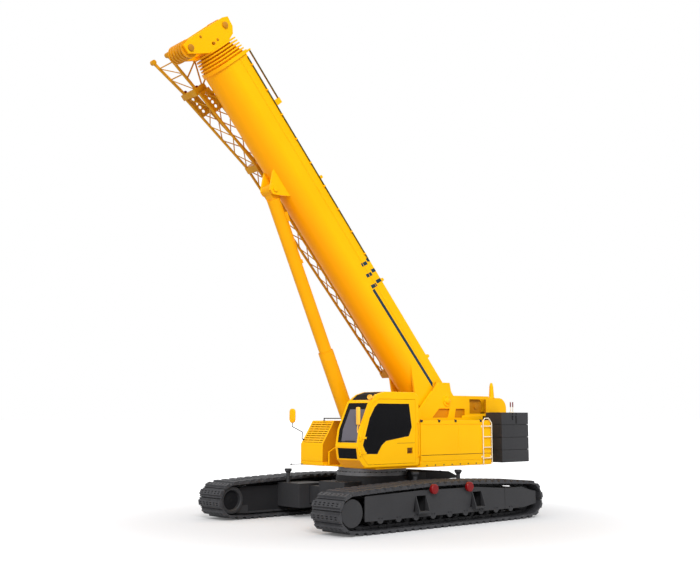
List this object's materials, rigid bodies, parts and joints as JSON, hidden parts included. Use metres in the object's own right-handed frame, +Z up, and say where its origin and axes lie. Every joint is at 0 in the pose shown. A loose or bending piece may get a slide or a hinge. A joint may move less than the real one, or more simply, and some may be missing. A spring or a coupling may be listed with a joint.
{
  "type": "telescopic boom crawler crane",
  "caption": "Crawler crane with wide track units, slewing upper with cab, hood and counterweight, telescopic box boom on a lift cylinder and a lattice jib stowed beside it.",
  "frame": {"origin": "on the ground on the slewing axis", "axes": "+X forward along the tracks and the boom, +Y to the left, +Z up"},
  "size_m": [10.6932, 5.602, 11.7885],
  "materials": {
    "crane_yellow_paint": "gloss",
    "dark_grey_paint": "satin",
    "track_steel": "matte",
    "slew_ring_steel": "satin",
    "engine_iron": "matte",
    "ladder_aluminium": "satin",
    "tinted_glass": "gloss",
    "seat_cloth": "matte",
    "black_plastic": "matte",
    "jib_yellow_paint": "satin",
    "sheave_yellow_paint": "satin",
    "red_cap_paint": "gloss"
  },
  "bodies": {
    "undercarriage": {"carbody": "dark_grey_paint", "slew_ring_lower": "slew_ring_steel"},
    "left_track": {"track_frame_l": "dark_grey_paint", "track_sleeves_l": "dark_grey_paint", "track_belt_l": "track_steel", "track_drive_l": "dark_grey_paint", "track_rollers_l": "track_steel", "track_carriers_l": "red_cap_paint"},
    "right_track": {"track_frame_r": "dark_grey_paint", "track_sleeves_r": "dark_grey_paint", "track_belt_r": "track_steel", "track_drive_r": "dark_grey_paint", "track_rollers_r": "track_steel", "track_carriers_r": "red_cap_paint"},
    "upper": {"slew_ring_upper": "slew_ring_steel", "platform": "crane_yellow_paint", "boom_frame": "crane_yellow_paint", "rear_housing": "crane_yellow_paint", "counterweight": "dark_grey_paint", "left_house": "crane_yellow_paint", "right_hood": "crane_yellow_paint", "hood_grille": "crane_yellow_paint", "engine": "engine_iron", "ladder": "ladder_aluminium", "fittings": "crane_yellow_paint", "cab_base": "crane_yellow_paint", "cab_shell": "crane_yellow_paint", "cab_roof": "crane_yellow_paint", "cab_glass": "tinted_glass", "cab_seat": "seat_cloth", "cab_console": "black_plastic"},
    "door": {"cab_door": "crane_yellow_paint", "door_glass": "tinted_glass"},
    "drum": {"winch_drum": "crane_yellow_paint"},
    "boom": {"boom_base": "crane_yellow_paint", "boom_fittings": "crane_yellow_paint", "jib_lower": "jib_yellow_paint", "jib_upper": "jib_yellow_paint"},
    "section_2": {"tele_2": "crane_yellow_paint"},
    "section_3": {"tele_3": "crane_yellow_paint"},
    "section_4": {"tele_4": "crane_yellow_paint"},
    "section_5": {"tele_5": "crane_yellow_paint"},
    "section_6": {"tele_6": "crane_yellow_paint", "boom_head": "crane_yellow_paint"},
    "lower_sheaves": {"sheaves_low": "sheave_yellow_paint"},
    "upper_sheaves": {"sheaves_top": "sheave_yellow_paint"},
    "lift_barrel": {"lift_barrel": "crane_yellow_paint"},
    "lift_rod": {"lift_rod": "crane_yellow_paint"}
  },
  "joints": [
    {"name": "left_track_gauge", "type": "slide", "parent": "undercarriage", "child": "left_track", "axis": [0, -1, 0], "range_m": [0, 0.5]},
    {"name": "right_track_gauge", "type": "slide", "parent": "undercarriage", "child": "right_track", "axis": [0, 1, 0], "range_m": [0, 0.5]},
    {"name": "slew", "type": "hinge", "parent": "undercarriage", "child": "upper", "pos_m": [0, 0, 1.176], "axis": [0, 0, 1], "continuous": true},
    {"name": "cab_door_hinge", "type": "hinge", "parent": "upper", "child": "door", "pos_m": [1.84035, 1.62, 2], "axis": [0, 0, -1], "range_deg": [0, 85]},
    {"name": "winch_spin", "type": "hinge", "parent": "upper", "child": "drum", "pos_m": [-3.43, 0, 2.8], "axis": [0, 1, 0], "continuous": true},
    {"name": "boom_luff", "type": "hinge", "parent": "upper", "child": "boom", "pos_m": [-2.2, 0, 2.95], "axis": [0, -1, 0], "range_deg": [-49.1, 30.9]},
    {"name": "section_2_slide", "type": "slide", "parent": "boom", "child": "section_2", "axis": [0.6547, 0, 0.7559], "range_m": [0, 8.1]},
    {"name": "section_3_slide", "type": "slide", "parent": "section_2", "child": "section_3", "axis": [0.6547, 0, 0.7559], "range_m": [0, 8.1]},
    {"name": "section_4_slide", "type": "slide", "parent": "section_3", "child": "section_4", "axis": [0.6547, 0, 0.7559], "range_m": [0, 8.1]},
    {"name": "section_5_slide", "type": "slide", "parent": "section_4", "child": "section_5", "axis": [0.6547, 0, 0.7559], "range_m": [0, 8.1]},
    {"name": "section_6_slide", "type": "slide", "parent": "section_5", "child": "section_6", "axis": [0.6547, 0, 0.7559], "range_m": [0, 8.1]},
    {"name": "lower_sheave_spin", "type": "hinge", "parent": "section_6", "child": "lower_sheaves", "pos_m": [5.82824, 0, 10.7671], "axis": [0, 1, 0], "continuous": true},
    {"name": "upper_sheave_spin", "type": "hinge", "parent": "section_6", "child": "upper_sheaves", "pos_m": [4.925, 0, 11.54951], "axis": [0, 1, 0], "continuous": true},
    {"name": "lift_barrel_pivot", "type": "hinge", "parent": "boom", "child": "lift_barrel", "pos_m": [3.31225, 0, 7.93893], "axis": [0, -1, 0], "range_deg": [-9.9, 6.3]},
    {"name": "lift_rod_slide", "type": "slide", "parent": "lift_barrel", "child": "lift_rod", "axis": [-0.419, 0, -0.908], "range_m": [-2.1, 1.32]}
  ],
  "couplings": [
    {"joint": "lift_barrel_pivot", "follows": "boom_luff", "ratio": 0.2},
    {"joint": "lift_rod_slide", "follows": "boom_luff", "m_per_rad": 2.4293},
    {"joint": "section_3_slide", "follows": "section_2_slide", "ratio": 1},
    {"joint": "section_4_slide", "follows": "section_2_slide", "ratio": 1},
    {"joint": "section_5_slide", "follows": "section_2_slide", "ratio": 1},
    {"joint": "section_6_slide", "follows": "section_2_slide", "ratio": 1}
  ]
}
